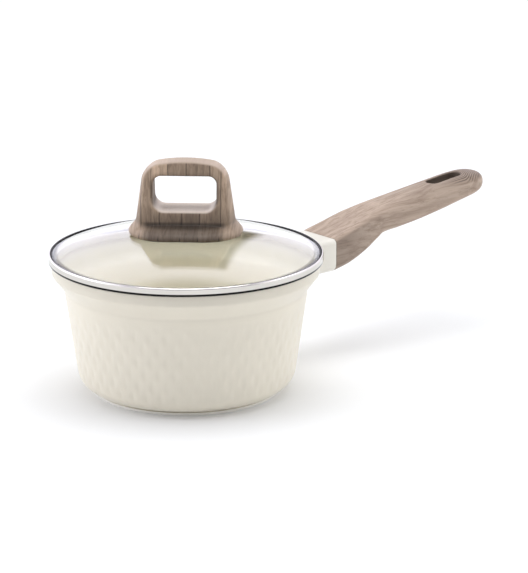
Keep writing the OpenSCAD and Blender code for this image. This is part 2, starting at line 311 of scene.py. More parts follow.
class Nodes:
    """Short ways to add nodes to a tree."""

    def __init__(self, tree):
        self.tree = tree

    def node(self, kind, inputs=(), **settings):
        node = self.tree.nodes.new(kind)
        for key, value in settings.items():
            setattr(node, key, value)
        for key, value in dict(inputs).items():
            self.feed(node.inputs[key], value)
        return node

    def feed(self, socket, value):
        if isinstance(value, bpy.types.NodeSocket):
            self.tree.links.new(value, socket)
        else:
            socket.default_value = value

    def math(self, operation, a, b=0.0):
        return self.node("ShaderNodeMath", {0: a, 1: b}, operation=operation).outputs[0]

    def product(self, first, *others):
        for other in others:
            first = self.math("MULTIPLY", first, other)
        return first

    def size_of(self, a, b):
        """The length of a vector with parts a and b."""
        return self.math("SQRT", self.math("ADD", self.math("POWER", a, 2.0), self.math("POWER", b, 2.0)))

    def place(self):
        """Coordinates in the row frame, in metres, as x, y, z."""
        coords = self.node("ShaderNodeTexCoord").outputs["Object"]
        return self.node("ShaderNodeSeparateXYZ", {0: coords}).outputs

    def vector(self, x, y, z):
        return self.node("ShaderNodeCombineXYZ", {0: x, 1: y, 2: z}).outputs[0]

    def turned(self, angle):
        """Coordinates turned about Z by angle radians, as x, y, z."""
        coords = self.node("ShaderNodeTexCoord").outputs["Object"]
        turn = self.node("ShaderNodeVectorRotate", {"Vector": coords, "Angle": angle}, rotation_type="Z_AXIS")
        return self.node("ShaderNodeSeparateXYZ", {0: turn.outputs[0]}).outputs

    def stretched(self, parts, sizes_mm=(1, 1, 1)):
        """A vector whose unit is sizes_mm along each coordinate in parts."""
        return self.vector(*[self.math("MULTIPLY", p, 1 / (s * MM)) for p, s in zip(parts, sizes_mm)])

    def noise(self, vector, scale=1.0, detail=2.0, roughness=0.5, distortion=0.0):
        inputs = {"Vector": vector, "Scale": scale, "Detail": detail}
        inputs |= {"Roughness": roughness, "Distortion": distortion}
        return self.node("ShaderNodeTexNoise", inputs).outputs["Fac"]

    def ramp(self, factor, *stops):
        node = self.node("ShaderNodeValToRGB", {0: factor})
        band = node.color_ramp.elements
        while len(band) < len(stops):
            band.new(0.5)
        for element, (place, colour) in zip(band, stops):
            element.position = place
            element.color = (*colour, 1)
        return node.outputs["Color"]

    def spread(self, value, low, high, to_low=0.0, to_high=1.0):
        """Moves smoothly from to_low, where value is at low, to to_high, where it is at high."""
        inputs = {"Value": value, "From Min": low, "From Max": high, "To Min": to_low, "To Max": to_high}
        return self.node("ShaderNodeMapRange", inputs, interpolation_type="SMOOTHSTEP").outputs["Result"]

    def facing(self):
        """The surface normal as x, y, z."""
        normal = self.node("ShaderNodeNewGeometry").outputs["Normal"]
        return self.node("ShaderNodeSeparateXYZ", {0: normal}).outputs

    def times(self, colour, *amounts):
        """A colour made darker or lighter by each of the amounts."""
        for amount in amounts:
            inputs = {0: colour, "Scale": amount}
            colour = self.node("ShaderNodeVectorMath", inputs, operation="SCALE").outputs[0]
        return colour

    def mix(self, factor, a, b):
        """The colour a where factor is 0, and b where it is 1."""
        a, b = ((*c, 1) if isinstance(c, tuple) else c for c in (a, b))
        return self.node("ShaderNodeMix", {0: factor, 6: a, 7: b}, data_type="RGBA").outputs[2]

    def blend(self, factor, a, b):
        """The number a where factor is 0, and b where it is 1."""
        return self.node("ShaderNodeMix", {0: factor, 2: a, 3: b}).outputs[0]


class Shader(Nodes):
    """A material with one Principled shader. Values are its constant inputs, with _ for a space."""

    def __init__(self, name, **values):
        self.material = bpy.data.materials.new(name)
        self.material.use_nodes = True
        super().__init__(self.material.node_tree)
        self.principled = self.tree.nodes["Principled BSDF"]
        for key, value in values.items():
            self.principled.inputs[key.replace("_", " ")].default_value = value

    def set(self, key, value):
        self.feed(self.principled.inputs[key], value)

    def bump(self, height, distance_mm, strength):
        inputs = {"Height": height, "Distance": distance_mm * MM, "Strength": strength}
        self.set("Normal", self.node("ShaderNodeBump", inputs).outputs[0])


# ---- Materials ----


def toned(colour, amount):
    """A plain colour made darker by this amount."""
    return tuple(amount * c for c in colour)


def ceramic(name, colour, roughness, speckle, flare_shade):
    """Satin ceramic coat: a faint orange peel and a slight speckle, with painted light on the foot ring and
    painted shade from the flare line up.
    """
    s = Shader(name, Specular_IOR_Level=0.5, Coat_Weight=0.12, Coat_Roughness=0.18)
    place = s.place()
    at = s.stretched(place)
    z = place[2]
    cloud = s.noise(at, 0.05, 3.0, 0.6)
    speck = s.spread(s.noise(at, 1.9, 1.0), 0.66, 0.74, 0.0, speckle)
    # Painted light: the foot ring is paler than the rest of the coat
    above_painted_foot_ring = s.spread(z, (FOOT_H - 0.1) * MM, (FOOT_H + 0.4) * MM)
    # Painted shade: the coat darker from the flare line up, by the amount the caller gives
    flare = s.spread(z, (FLARE_Z - 1) * MM, (FLARE_Z + 2) * MM, 1.0, flare_shade)
    tone = s.mix(s.spread(cloud, 0.3, 0.7), toned(colour, 0.975), colour)
    tone = s.mix(above_painted_foot_ring, (0.97, 0.95, 0.9), s.times(tone, flare))
    s.set("Base Color", s.mix(speck, tone, (0.55, 0.48, 0.38)))
    gloss = s.noise(at, 0.3, 3.0)
    s.set("Roughness", s.spread(gloss, 0.25, 0.75, roughness - 0.03, roughness + 0.05))
    s.bump(s.noise(at, 0.55, 2.0), 0.02, 0.5)
    return s.material


def wood_colour(s, broad, streak, pore, light, middle, dark):
    """Mixes three grain layers into one colour."""
    base = s.ramp(s.spread(broad, 0.25, 0.75), (0.0, middle), (0.55, light), (1.0, middle))
    lined = s.mix(s.spread(streak, 0.42, 0.72, 0.0, 0.6), base, dark)
    return s.mix(s.spread(pore, 0.62, 0.74, 0.0, 0.4), lined, toned(dark, 0.6))


def finish_wood(s, colour, streak, pore):
    """Sets the colour, and lets streaks and pores show in the gloss and the relief."""
    s.set("Base Color", colour)
    s.set("Roughness", s.spread(streak, 0.3, 0.7, 0.45, 0.58))
    s.bump(s.math("ADD", streak, s.math("MULTIPLY", pore, -0.6)), 0.05, 0.5)
    return s.material


RING_RATE = 4700.0  # Rings of the handle's grain, in radians per metre


def handle_wood():
    """Moulded grip with printed grain: lengthwise streaks, and fine rings round the slot's outer end."""
    s = Shader("handle_wood_look", Specular_IOR_Level=0.3)
    x, y, z = s.place()
    up = s.spread(s.facing()[2], 0.25, 0.85)
    beyond = s.math("MAXIMUM", s.math("SUBTRACT", x, (SLOT_X1 - SLOT_W / 2) * MM), 0.0)
    around = s.size_of(beyond, y)
    sway = s.math("SUBTRACT", s.noise(s.stretched((x, y, z), (60, 40, 40)), 1.0, 2.0), 0.5)
    across = s.math("ADD", around, s.math("MULTIPLY", sway, 0.012))
    broad = s.noise(s.stretched((x, across, z), (70, 6, 9)), 1.0, 2.0, 0.5, 0.4)
    streak = s.noise(s.stretched((x, across, z), (90, 2.0, 2.6)), 1.0, 3.0, 0.7)
    pore = s.noise(s.stretched((x, across, z), (8, 0.34, 0.5)), 1.0, 2.0, 0.5)
    light, middle, dark = (0.56, 0.44, 0.355), (0.44, 0.335, 0.265), (0.25, 0.175, 0.13)
    colour = wood_colour(s, broad, streak, pore, light, middle, dark)
    wavy = s.math("ADD", around, s.math("MULTIPLY", sway, 0.003))
    ring = s.math("SINE", s.math("MULTIPLY", wavy, RING_RATE))
    near_tip = s.spread(x, (SLOT_X0 + 6) * MM, (SLOT_X1 - 4) * MM)
    colour = s.mix(s.product(s.spread(ring, -0.3, 0.6), near_tip, up), colour, (0.17, 0.12, 0.09))
    # Painted shade: the sides darker than the top, most near the collar, and darkest inside the slot. The top
    # also darkens towards the tip
    top_tone = s.spread(x, 140 * MM, 235 * MM, 1.0, 0.72)
    side_painted_shade = s.spread(x, 112 * MM, 165 * MM, 0.66, 0.95)
    beside = s.math("ABSOLUTE", y)
    slot_shade_mask = s.product(
        s.spread(beside, (SLOT_W / 2 + 0.2) * MM, (SLOT_W / 2 + 1) * MM, 1.0, 0.0),
        s.spread(x, (SLOT_X1 + 0.2) * MM, (SLOT_X1 + 1) * MM, 1.0, 0.0),
        s.spread(x, (SLOT_X0 - 1) * MM, (SLOT_X0 - 0.2) * MM),
    )
    tone = s.blend(up, s.blend(slot_shade_mask, side_painted_shade, 0.28), top_tone)
    return finish_wood(s, s.times(colour, tone), streak, pore)


def knob_wood():
    """Moulded knob with printed grain: upright boards of uneven width with dark seams, darker low down."""
    s = Shader("knob_wood_look", Specular_IOR_Level=0.35)
    x, y, z = s.turned(-LID_TURN)
    nx, ny, nz = s.facing()
    up = s.spread(nz, 0.3, 0.9)
    sway = s.math("SUBTRACT", s.noise(s.stretched((x, y, z), (26, 60, 30)), 1.0, 2.0), 0.5)
    across = s.math("ADD", x, s.math("MULTIPLY", sway, 0.004))
    beside = s.math("ABSOLUTE", x)
    # The bar over the opening has boards of its own
    over_opening = s.math("GREATER_THAN", z, (OPEN_LOW + 8) * MM)
    row = s.product(over_opening, s.math("LESS_THAN", beside, 21 * MM))
    where = s.math("ADD", s.math("DIVIDE", across, 11 * MM), s.math("MULTIPLY", row, 23.7))
    boards = {"W": where, "Scale": 1.0}
    board = s.node("ShaderNodeTexVoronoi", boards, voronoi_dimensions="1D")
    edge = s.node("ShaderNodeTexVoronoi", boards, voronoi_dimensions="1D", feature="DISTANCE_TO_EDGE")
    broad = s.noise(s.stretched((across, y, z), (5, 60, 26)), 1.0, 2.0, 0.5, 0.5)
    streak = s.noise(s.stretched((across, y, z), (2.2, 40, 14)), 1.0, 3.0, 0.6, 1.2)
    pore = s.noise(s.stretched((across, y, z), (0.4, 6, 4.5)), 1.0, 2.0, 0.5)
    light, middle, dark = (0.46, 0.342, 0.25), (0.34, 0.25, 0.183), (0.185, 0.13, 0.09)
    colour = wood_colour(s, broad, streak, pore, light, middle, dark)
    # Painted light: the knob lighter towards one end. The boards also differ in tone at random
    one_end_painted_light = s.spread(x, -26 * MM, 10 * MM, 1.45, 1.0)
    board_print_and_painted_light = s.product(s.spread(board.outputs["Color"], 0.25, 0.75, 0.75, 1.15), one_end_painted_light)
    seam = s.blend(up, s.spread(edge.outputs["Distance"], 0.0, 0.06, 0.4, 1.0), 1.0)
    low = s.spread(z, (DOME_Z + 5) * MM, (OPEN_LOW + 5) * MM, 0.62, 1.0)
    # The flange: dark in the middle, pale at its ends, with painted shade in the crease where the loop meets
    # it
    flange = s.spread(z, (DOME_Z + 5) * MM, (DOME_Z + 7) * MM, 1.0, 0.0)
    flange_tone = s.blend(flange, 1.0, s.spread(beside, 20 * MM, 29 * MM, 0.58, 1.3))
    # Painted shade along the crease
    off_crease = s.math("ABSOLUTE", s.math("SUBTRACT", z, (DOME_Z + 5.9) * MM))
    crease = s.product(
        s.spread(off_crease, 0.4 * MM, 2.2 * MM, 0.6, 0.0),
        s.spread(beside, 22 * MM, 28 * MM, 1.0, 0.0),
    )
    colour = s.times(colour, board_print_and_painted_light, seam, low, flange_tone, s.math("SUBTRACT", 1.0, crease))
    # The opening: painted shade on its inner sides and ceiling, painted light on its floor. The top of the
    # loop has painted light too
    along_x = s.math("MULTIPLY", nx, math.cos(LID_TURN))
    out_x = s.math("ADD", along_x, s.math("MULTIPLY", ny, math.sin(LID_TURN)))
    inward = s.product(out_x, s.math("SIGN", x), -1.0)
    wall_painted_shade = s.spread(inward, 0.25, 0.9, 1.0, 0.5)
    # Painted shade on faces that look down, such as the opening's ceiling
    above = s.spread(nz, -0.3, -0.9, 1.0, 0.55)
    # Painted light on faces that look up: the opening's floor and the top of the loop
    pale = s.product(up, s.spread(z, (DOME_Z + 8) * MM, (DOME_Z + 12) * MM), 0.85)
    on_top = s.spread(z, (OPEN_HIGH - 3) * MM, (OPEN_HIGH + 1) * MM)
    painted_light_colour = s.mix(on_top, (0.86, 0.75, 0.67), (0.5, 0.395, 0.32))
    return finish_wood(s, s.mix(pale, s.times(colour, wall_painted_shade, above), painted_light_colour), streak, pore)


def clear_glass():
    """Clear tempered glass, faintly green. Lamps shine through it dimmed to about two thirds, a deeper shadow
    than such glass casts: painted shade under the lid.
    """
    s = Shader("tempered_glass", Roughness=0.0, IOR=1.5, Transmission_Weight=1.0)
    at = s.stretched(s.place())
    cloud = s.spread(s.noise(at, 0.02, 1.0), 0.3, 0.7)
    s.set("Base Color", s.mix(cloud, (0.962, 0.975, 0.912), (0.97, 0.981, 0.926)))
    s.bump(s.noise(at, 0.03, 1.0), 0.01, 0.2)
    # Painted shade: lamp light through the glass cut to about two thirds
    through = s.node("ShaderNodeBsdfTransparent", {"Color": (0.64, 0.655, 0.6, 1)})
    lamp = s.node("ShaderNodeLightPath").outputs["Is Shadow Ray"]
    both = s.node("ShaderNodeMixShader", {0: lamp, 1: s.principled.outputs[0], 2: through.outputs[0]})
    out = s.tree.nodes["Material Output"]
    s.tree.links.new(both.outputs[0], out.inputs["Surface"])
    return s.material


# Painted shade: the band's low roll darkened like the gap beneath it; the lip darkened where it meets the
# glass
DARK_EDGE = 0.012  # Tone of the band's rolled edges


def turned_steel(name, colour, roughness, lines_mm=0.35, depth_mm=0.006, dark_edges=False):
    """Steel with fine marks that run round the Z axis. On the lid band the low roll is painted with the shade
    of the gap beneath it, and the lip is dark where it meets the glass.
    """
    s = Shader(name, Metallic=1.0)
    x, y, z = s.place()
    radius = s.size_of(x, y)
    profile = s.vector(s.math("MULTIPLY", radius, 1 / MM), 0.0, s.math("MULTIPLY", z, 1 / MM))
    round_marks = s.noise(profile, 1 / lines_mm)
    cloud = s.noise(s.stretched((x, y, z), (30, 30, 30)), 1.0, 3.0)
    tone = s.mix(s.spread(cloud, 0.3, 0.7), toned(colour, 0.94), colour)
    if dark_edges:
        # Painted shade on the low roll, over the gap to the rim
        low_roll_painted_shade = s.product(
            s.spread(z, (BAND_Z + 0.7) * MM, (BAND_Z + 1.1) * MM, 1.0, 0.0),
            s.spread(radius, RIM_R * MM, (RIM_R + 0.2) * MM),
        )
        lip = s.product(
            s.spread(radius, (LIP_R + 0.1) * MM, (LIP_R + 0.35) * MM, 1.0, 0.0),
            s.spread(z, (BAND_TOP - 1.5) * MM, (BAND_TOP - 1.2) * MM),
        )
        tone = s.mix(s.math("MAXIMUM", low_roll_painted_shade, lip), tone, toned((1, 1, 1), DARK_EDGE))
    s.set("Base Color", tone)
    s.set("Roughness", s.spread(round_marks, 0.3, 0.7, roughness * 0.75, roughness * 1.35))
    s.bump(round_marks, depth_mm, 0.5)
    return s.material


def plated(name, colour, roughness):
    """Machined or zinc-plated metal: fine cloudy variation in tone and gloss."""
    s = Shader(name, Metallic=1.0)
    at = s.stretched(s.place())
    cloud = s.noise(at, 0.8, 4.0, 0.6)
    s.set("Base Color", s.mix(s.spread(cloud, 0.3, 0.7), toned(colour, 0.85), colour))
    s.set("Roughness", s.spread(cloud, 0.3, 0.7, roughness - 0.06, roughness + 0.08))
    s.bump(s.noise(at, 4.0, 2.0), 0.01, 0.4)
    return s.material


def soft_silicone(name, colour):
    """Matte silicone, a little translucent, with a faint dust speckle."""
    s = Shader(name, Roughness=0.62, Specular_IOR_Level=0.35, Subsurface_Weight=0.15, Subsurface_Scale=0.002)
    at = s.stretched(s.place())
    cloud = s.spread(s.noise(at, 0.4, 3.0), 0.3, 0.7)
    s.set("Base Color", s.mix(cloud, toned(colour, 0.9), colour))
    s.bump(s.noise(at, 3.0, 2.0), 0.01, 0.4)
    return s.material


def pale_floor():
    """White sweep that glows: a little near the pan, lifting its shadows, and more with distance where the
    lamps fall off.
    """
    s = Shader("pale_floor", Roughness=0.9, Specular_IOR_Level=0.1)
    x, y, _ = s.place()
    away = s.size_of(x, y)
    s.set("Base Color", (0.925, 0.935, 0.955, 1))
    s.set("Emission Color", (1, 1, 1, 1))
    # Painted light: the floor glows, a little near the pan and more far off
    far = s.spread(away, 1.2, 4.0, 0.0, 0.4)
    s.set("Emission Strength", s.math("ADD", s.spread(away, 0.25, 1.3, 0.05, 0.32), far))
    return s.material


# ---- Pan ----


def pan_outside():
    """The outside, from the foot's edge up to the rim's inner edge. The wall's rows are evenly spaced."""
    belly = (BELLY_R - 0.2, FLARE_Z - 1.6)
    corner = arc(BELLY_R - 20.2, FOOT_H + 13.4, CORNER_R, -86, -WALL_LEAN, 15)
    wall = line(corner[-1], belly, 58)
    step = arc(BELLY_R + 4.5, FLARE_Z + 0.1, 4.7, 180 - WALL_LEAN + 4, 180 - FLARE_LEAN, 7)
    shoulder = arc(RIM_R - 3.2, PAN_H - 6.2, 3.2, -FLARE_LEAN, 0, 7)
    rise = line(step[-1], shoulder[0], 10)[:-1]
    return (
        [(FOOT_R - 0.3, 0)]
        + arc(FOOT_R - 0.3, 0.5, 0.5, -60, 0, 3)
        + arc(FOOT_R - 0.5, FOOT_H - 0.3, 0.7, 0, 90, 5)
        + [(FOOT_R - 1.7, FOOT_H + 0.36), (FOOT_R - 1.9, FOOT_H + 0.38)]
        + corner
        + wall
        + step[1:]
        + rise
        + shoulder
        + line(shoulder[-1], (RIM_R, PAN_H - 1.2), 3)
        + arc(RIM_R - 1.2, PAN_H - 1.2, 1.2, 12, 90, 7)
    )


def pan_inside():
    """The inside, from the rim's inner edge down to the middle of the floor."""
    lip = arc(MOUTH_R + 0.9, PAN_H - 0.9, 0.9, 90, 180, 5)
    inner_flare = BELLY_R - WALL_T
    corner = arc(BELLY_R - 18.6, BASE_T + 8, 8, -WALL_LEAN, -88, 12)
    flats = [(r, BASE_T) for r in (46, 34, 20, 8, 0)]
    return (
        lip
        + [(MOUTH_R, PAN_H - 6), (MOUTH_R - 0.3, PAN_H - 7)]
        + line((MOUTH_R - 0.3, PAN_H - 7), (inner_flare + 0.7, FLARE_Z + 1.4), 6)
        + [(inner_flare, FLARE_Z), (inner_flare - 0.3, FLARE_Z - 1.6)]
        + line((inner_flare - 0.3, FLARE_Z - 1.6), corner[0], 10)[:-1]
        + corner
        + flats
    )


def scoop(radius, height, turn):
    """Presses the staggered diamonds into the outside of the wall."""
    u = turn * FACETS / (2 * math.pi)
    v = (height - FOOT_H - 3) / FACET_ROW
    a = (u + v / 2 + 0.5) % 1 - 0.5
    b = (u - v / 2 + 0.5) % 1 - 0.5
    depth = (1 + np.cos(2 * math.pi * a)) * (1 + np.cos(2 * math.pi * b)) / 4
    fade = blend_step(height, FOOT_H + 1, FOOT_H + 6) * (1 - blend_step(height, FLARE_Z - 7, FLARE_Z - 2))
    outside = radius > BELLY_R - WALL_T / 2 - (FLARE_Z - height) * math.tan(math.radians(WALL_LEAN))
    low_corner = (height < FOOT_H + 11) & (radius > FOOT_R - 2)
    pressed = FACET_DEPTH * depth * fade * (outside | low_corner)
    return radius - pressed * math.cos(math.radians(WALL_LEAN)), height


def lug():
    """The block on the wall that the handle is bolted to, with its bore."""
    half_w, half_h, mid = LUG_W / 2, (LUG_HIGH - LUG_LOW) / 2, (LUG_LOW + LUG_HIGH) / 2
    outline = sum(rounded_corners(half_w, LUG_LOW, LUG_HIGH, LUG_CORNER_R, LUG_CORNER_R, 4), [])
    n = len(outline)
    # Where each ring of points is, and how far it is drawn in; the first lies in the wall
    stations = [("wall", 0), (LUG_END - 1, 0), (LUG_END - 0.3, 0.3), (LUG_END, 1)]
    points = []
    for x, inset in stations:
        for y, z in outline:
            start = math.sqrt((pan_radius(z) - 1.5) ** 2 - y**2) if x == "wall" else x
            points.append((start, y * (1 - inset / half_w), mid + (z - mid) * (1 - inset / half_h)))
    faces = [list(range(n))[::-1], [(len(stations) - 1) * n + i for i in range(n)]]
    for i in range(len(stations) - 1):
        for j in range(n):
            k = (j + 1) % n
            faces.append((i * n + j, i * n + k, (i + 1) * n + k, (i + 1) * n + j))
    return cut(make_object("lug", points, faces), bolt_drill(LUG_BORE_R, -24, 6))


def bolt_drill(radius, s0, s1):
    """A closed cylinder on the handle bolt's axis, from s0 to s1 along it."""
    steps = 48
    turn = np.arange(steps) * 2 * math.pi / steps
    across = np.array([0, 1, 0])
    along = np.array([math.cos(BOLT_LEAN), 0, -math.sin(BOLT_LEAN)])
    up = np.array([math.sin(BOLT_LEAN), 0, math.cos(BOLT_LEAN)])
    ring = radius * (np.cos(turn)[:, None] * across + np.sin(turn)[:, None] * up)
    start = np.array([JOINT_X, 0, BOLT_Z])
    points = np.concatenate([start + along * s0 + ring, start + along * s1 + ring])
    faces = [list(range(steps))[::-1], [steps + i for i in range(steps)]]
    faces += [(i, (i + 1) % steps, steps + (i + 1) % steps, steps + i) for i in range(steps)]
    return make_object("drill", points, faces)


def make_pan(material):
    underside = [(0, PLATE_T), (PLATE_R + 0.05, PLATE_T), (PLATE_R + 0.05, 0.2), (PLATE_R + 0.3, 0)]
    underside += [(PLATE_R + 3, 0), (PLATE_R + 6, 0)]
    outline = underside + pan_outside() + pan_inside()[1:]
    pan = revolve("pan_body_coated", outline, PAN_STEPS, shape=scoop)
    join(pan, lug())
    finish_piece(pan, "pan", material, "pan_body")


# ---- Handle ----

# Stations along the grip: x, half width, top edge, underside, crown, top and bottom edge radius
GRIP = np.array([
    (JOINT_X, 17.1, 80.3, 58.4, 0, 3, 5.2),
    (125, 16.2, 84, 61.4, 0, 2.8, 4.8),
    (140, 15.1, 88.2, 67.4, 0.3, 3.0, 4.2),
    (150, 14.4, 90.4, 73, 0.6, 3.8, 4),
    (156, 14, 91.6, 76, 0.9, 4.4, 4),
    (170, 13.5, 93.5, 77.3, 1.4, 5.2, 4),
    (190, 13, 95.8, 79.5, 2, 5.6, 4),
    (212, 13, 98, 83.2, 2.5, 5.4, 4),
    (230, 13, 99.8, 86.8, 2.6, 5, 3.8),
    (TIP_X, 13, 101.2, 91.8, 2.2, 5, 3.4),
])


def station(x, column):
    """Cubic through a column of the grip's stations."""
    at, value = GRIP[:, 0], GRIP[:, column]
    last = len(at) - 1
    slope = np.array([
        (value[min(i + 1, last)] - value[max(i - 1, 0)]) / (at[min(i + 1, last)] - at[max(i - 1, 0)])
        for i in range(last + 1)
    ])
    i = np.clip(np.searchsorted(at, x, side="right") - 1, 0, last - 1)
    h = at[i + 1] - at[i]
    s = np.clip((x - at[i]) / h, 0, 1)
    start = value[i] * (1 + 2 * s) * (1 - s) ** 2 + value[i + 1] * s * s * (3 - 2 * s)
    return start + h * s * (1 - s) * (slope[i] * (1 - s) - slope[i + 1] * s)


def bolt_axis(x, y, z):
    """Distance along the handle bolt's axis and away from it."""
    dx, dz = x - JOINT_X, z - BOLT_Z
    along = dx * math.cos(BOLT_LEAN) - dz * math.sin(BOLT_LEAN)
    up = dx * math.sin(BOLT_LEAN) + dz * math.cos(BOLT_LEAN)
    return along, np.hypot(y, up)


def box_field(y, z, half_w, low, high, r):
    """Rounded rectangle in the Y-Z plane."""
    mid, half_h = (low + high) / 2, (high - low) / 2
    dy, dz = np.abs(y) - half_w + r, np.abs(z - mid) - half_h + r
    return np.hypot(np.maximum(dy, 0), np.maximum(dz, 0)) + np.minimum(np.maximum(dy, dz), 0) - r


def grip_field(x, y, z):
    """The grip with its tenon into the collar, less the slot, the bolt's hole and its counterbore."""
    width, high, low, crown, r_top, r_low = (station(x, c) for c in range(1, 7))
    past = np.maximum(x - (TIP_X - END_R), 0) / END_R
    side = (np.hypot(y / width, past) - 1) * width
    top = z - high - crown * (1 - np.minimum((y / width) ** 2, 1)) * (1 - np.minimum(past, 1) ** 2)
    shell = np.maximum(round_max(side, top * 0.985, r_top), round_max(side, (low - z) * 0.96, r_low))
    shell = round_max(shell, JOINT_X + 0.05 - x, 0.35)
    tenon = box_field(y, z, SOCKET_W - TENON_GAP, SOCKET_LOW + TENON_GAP, SOCKET_HIGH - TENON_GAP, 1)
    tenon = np.maximum(np.maximum(tenon, LUG_END - x), x - JOINT_X - 2)
    solid = np.minimum(shell, tenon)
    mid, half = (SLOT_X0 + SLOT_X1) / 2, (SLOT_X1 - SLOT_X0 - SLOT_W) / 2
    slot = np.hypot(np.maximum(np.abs(x - mid) - half, 0), y) - SLOT_W / 2
    solid = round_max(solid, -slot, 0.9)
    along, away = bolt_axis(x, y, z)
    solid = round_max(solid, -np.maximum(away - WASHER_R - 0.3, HEAD_S - 2 - along), 0.4)
    return np.maximum(solid, BOLT_R + 0.2 - away + 0 * x)


def make_grip(material):
    low = (LUG_END - 2, -COLLAR_W - 2, COLLAR_LOW[2] - 2)
    high = (TIP_X + 2, COLLAR_W + 2, 107)
    points, faces = net(grip_field, low, high, GRIP_CELL)
    grip = make_object("handle_grip_moulded", points, faces, 50)
    finish_piece(grip, "pan", material, "handle_grip")


def pan_radius(z):
    """Outer radius of the pan at a height on its flare or rim."""
    outline = np.array([p for p in pan_outside() if p[1] > FLARE_Z - 12])
    return np.interp(z, outline[:, 1], outline[:, 0])


def rounded_corners(half_w, low, high, r_low, r_high, n):
    """The four corners of a rounded rectangle in the Y-Z plane, anticlockwise, each an arc of n steps."""
    return [
        arc(half_w - r_high, high - r_high, r_high, 0, 90, n),
        arc(r_high - half_w, high - r_high, r_high, 90, 180, n),
        arc(r_low - half_w, low + r_low, r_low, 180, 270, n),
        arc(half_w - r_low, low + r_low, r_low, 270, 360, n),
    ]


def rounded_loop(half_w, low, high, r_low, r_high):
    """Closed outline of the collar, with points along its flats too."""
    corners = rounded_corners(half_w, low, high, r_low, r_high, 6)
    loop = []
    for i, corner in enumerate(corners):
        loop += corner + line(corner[-1], corners[(i + 1) % 4][0], 6)[:-1]
    return np.array(loop)


def make_collar(material):
    """Hollow sleeve between the wall and the grip. Its back end follows the pan's flare."""
    low, high = COLLAR_LOW[2], COLLAR_HIGH[2]
    r_low, r_high = 5.2, 3
    bevel = 0.35
    outer = rounded_loop(COLLAR_W, low, high, r_low, r_high)
    inner = rounded_loop(SOCKET_W, SOCKET_LOW, SOCKET_HIGH, 1, 1)
    inset = rounded_loop(COLLAR_W - bevel, low + bevel, high - bevel, r_low - bevel, r_high - bevel)
    rows = []
    for t in (0, 0.25, 0.5, 0.75, 1):
        rows.append(("pan", inner + (outer - inner) * t))
    for x in (JOINT_X - 16, JOINT_X - 8, JOINT_X - bevel):
        rows.append((x, outer))
    rows += [(JOINT_X - 0.1, inset + (outer - inset) * 0.7), (JOINT_X, inset)]
    rows += [(JOINT_X, (inset + inner) / 2), (JOINT_X, inner), (JOINT_X - 10, inner)]
    points = []
    for x, loop in rows:
        reach = np.sqrt(pan_radius(loop[:, 1]) ** 2 - loop[:, 0] ** 2) - 0.15
        place = reach if isinstance(x, str) else np.maximum(x, reach + 0.2)
        points.append(np.column_stack([np.broadcast_to(place, len(loop)), loop]))
    n, m = len(outer), len(rows)
    faces = []
    for i in range(m):
        for j in range(n):
            k, up = (j + 1) % n, (i + 1) % m
            faces.append((i * n + j, i * n + k, up * n + k, up * n + j))
    collar = make_object("handle_collar_painted", np.concatenate(points), faces, 40)
    finish_piece(collar, "pan", material, "handle_collar")


# ---- Lid ----


def dome_height(radius, drop=0.0):
    """Height of the dome's outer face, or of a face that lies drop inside it."""
    return DOME_C + np.sqrt((DOME_R - drop) ** 2 - np.square(radius))


def make_glass(material):
    """Domed glass with a centre hole and the vent's hole."""
    reach = np.linspace(GLASS_HOLE_R, GLASS_R - 0.5, 56)
    bottom = BAND_Z + SHEET_T + 0.35
    back = [r for r in reach[::-1] if dome_height(r, GLASS_T) > bottom + 0.2]
    outline = [(r, dome_height(r)) for r in reach]
    outline += [(GLASS_R, dome_height(GLASS_R) - 0.5), (GLASS_R, bottom + 0.4), (GLASS_R - 0.4, bottom)]
    outline += [(r, dome_height(r, GLASS_T)) for r in back]
    glass = revolve("lid_glass_clear", outline[::-1], GLASS_STEPS, closed=True)
    bpy.ops.mesh.primitive_cylinder_add(vertices=32, radius=VENT_HOLE_R * MM, depth=20 * MM)
    drill = bpy.context.object
    vent = (VENT_R * math.cos(VENT_TURN), VENT_R * math.sin(VENT_TURN), float(dome_height(VENT_R)))
    drill.location = Vector(vent) * MM
    drill.rotation_euler = (0, math.asin(VENT_R / DOME_R), VENT_TURN)
    cut(glass, drill)
    smooth(glass, 35)
    finish_piece(glass, "lid", material, "lid_glass")


def make_band(material):
    """Rolled steel band: lip over the glass, top roll, face, low roll and the lip that drops into the pan."""
    top_r, low_r = 1.1, 0.85
    in_r = MOUTH_R - 0.6
    outline = (
        [(in_r, BAND_Z - 4.6), (in_r, BAND_Z - 0.4)]
        + arc(in_r + 0.4, BAND_Z - 0.4, 0.4, 180, 90, 3)
        + [(in_r + 2, BAND_Z), (BAND_R - 2 * low_r, BAND_Z)]
        + arc(BAND_R - low_r, BAND_Z + 0.2, low_r, -165, 0, 12)
        + line((BAND_R, BAND_Z + 0.2), (BAND_R, BAND_TOP - top_r), 4)
        + arc(BAND_R - top_r, BAND_TOP - top_r, top_r, 8, 88, 9)
        + [(LIP_R + 0.6, BAND_TOP - 0.02)]
        + arc(LIP_R + 0.25, BAND_TOP - 0.3, 0.25, 95, 180, 5)
        + [(LIP_R, BAND_TOP - SHEET_T), (GLASS_R + 0.4, BAND_TOP - SHEET_T)]
        + [(GLASS_R + 0.4, BAND_Z + SHEET_T), (in_r + 0.5, BAND_Z + SHEET_T)]
        + [(in_r - SHEET_T, BAND_Z + SHEET_T - 0.4), (in_r - SHEET_T, BAND_Z - 4.6)]
    )
    band = revolve("lid_band_rolled", outline, BAND_STEPS, closed=True)
    finish_piece(band, "lid", material, "lid_band")


# ---- Knob ----

LOOP_BASE = DOME_Z + 2
LOOP_FOOT_W = 31.4
LOOP_TOP_W = 26.7
LOOP_DEPTH = 13.2
LOOP_H = 33.0
CROWN_RISE = 0.8
OPEN_TOP_R = 5.0
OPEN_FOOT_R = 7.0


